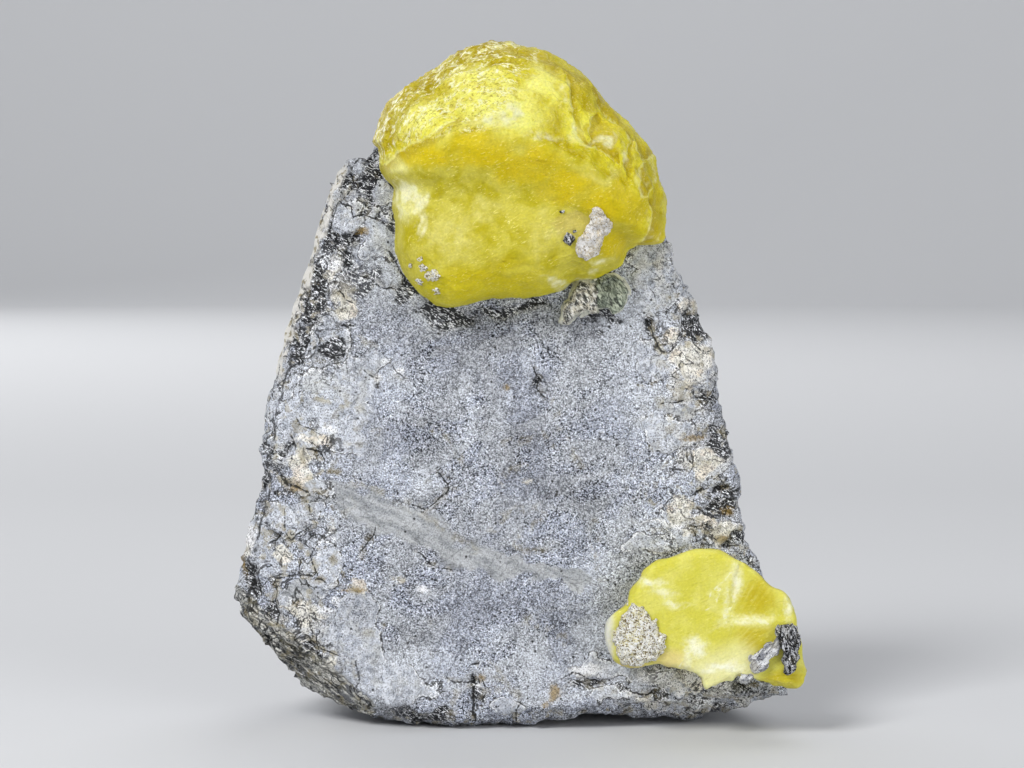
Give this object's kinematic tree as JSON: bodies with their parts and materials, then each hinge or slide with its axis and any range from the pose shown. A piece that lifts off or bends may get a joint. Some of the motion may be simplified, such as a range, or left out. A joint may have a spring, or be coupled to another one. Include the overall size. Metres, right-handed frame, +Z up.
{
  "type": "brucite on chromite-bearing matrix mineral specimen",
  "caption": "Display mineral specimen: a rounded yellow brucite nodule on top and a smaller one low down on a flat-faced slab of speckled grey rock that stands on its own base.",
  "frame": {"origin": "on the surface the specimen stands on, under the middle of its box", "axes": "+Z up, +Y from the show face towards the rough back, +X to the right of the show face"},
  "size_m": [0.0738, 0.0461, 0.09],
  "materials": {
    "rock": "matte",
    "brucite": "satin",
    "serpentine": "matte",
    "crust": "matte"
  },
  "bodies": {
    "root": {"rock_slab": "rock", "large_brucite": "brucite", "small_brucite": "brucite", "serpentine_flake": "serpentine", "large_crust": "crust", "small_crust": "crust", "right_chip": "rock", "dark_chip": "rock", "white_fleck": "crust"}
  },
  "joints": []
}
